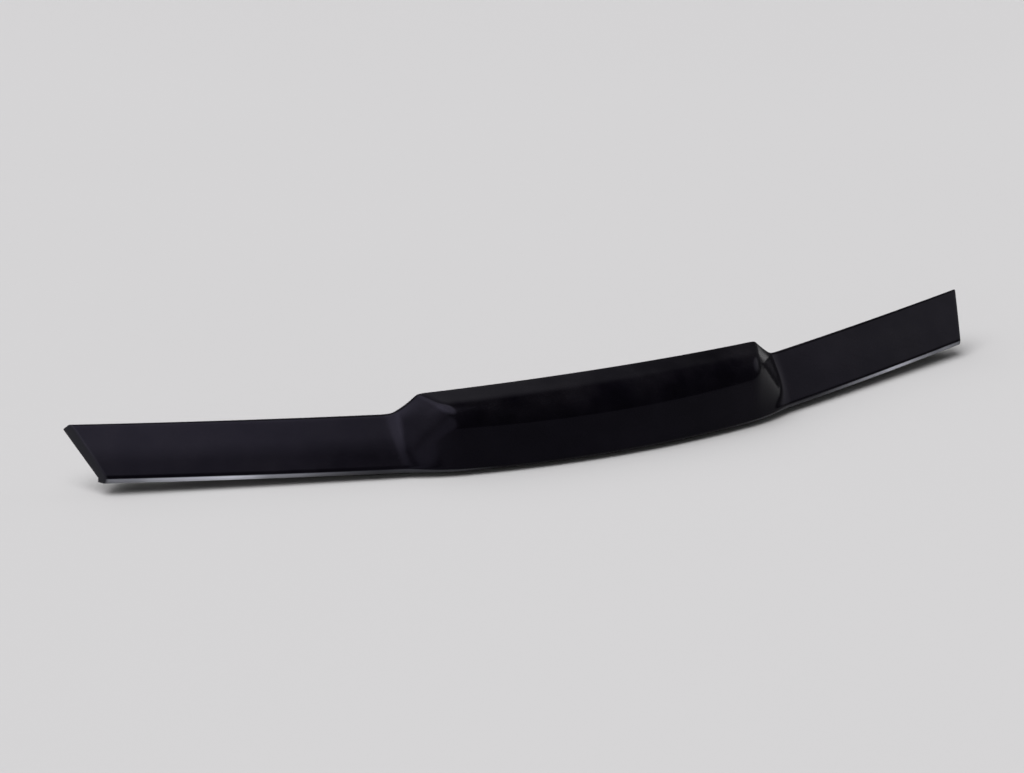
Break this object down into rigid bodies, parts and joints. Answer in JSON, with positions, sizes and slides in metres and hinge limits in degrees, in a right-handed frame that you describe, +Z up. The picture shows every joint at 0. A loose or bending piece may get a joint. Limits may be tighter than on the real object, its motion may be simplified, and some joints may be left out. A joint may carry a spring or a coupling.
{
  "type": "hood bug deflector",
  "caption": "Swept smoke-black deflector shield with a raised convex middle, a return flange, clips and rubber bumpers for a hood's front edge.",
  "frame": {"origin": "midway between the two middle holes, on the underside of the return flange", "axes": "+X across the vehicle towards its left side, +Y rearwards, +Z up, as it is mounted"},
  "size_m": [0.9574, 0.1645, 0.0733],
  "materials": {
    "smoke_acrylic": "thermoformed, high gloss",
    "zinc_steel": "zinc plated",
    "bright_steel": "plain stainless",
    "nylon": "natural, satin",
    "rubber": "matt"
  },
  "bodies": {
    "root": {"shield": "smoke_acrylic", "bracket_1": "zinc_steel", "bracket_2": "zinc_steel", "bracket_3": "zinc_steel", "bracket_4": "zinc_steel", "bracket_5": "zinc_steel", "bracket_6": "zinc_steel", "screw_1": "bright_steel", "screw_2": "bright_steel", "screw_3": "bright_steel", "screw_4": "bright_steel", "screw_5": "bright_steel", "screw_6": "bright_steel", "washer_1": "nylon", "washer_2": "nylon", "washer_3": "nylon", "washer_4": "nylon", "washer_5": "nylon", "washer_6": "nylon", "nut_1": "bright_steel", "nut_2": "bright_steel", "nut_3": "bright_steel", "nut_4": "bright_steel", "nut_5": "bright_steel", "nut_6": "bright_steel", "bumper_1": "rubber", "bumper_2": "rubber", "bumper_3": "rubber", "bumper_4": "rubber", "bumper_5": "rubber", "bumper_6": "rubber"}
  },
  "joints": []
}
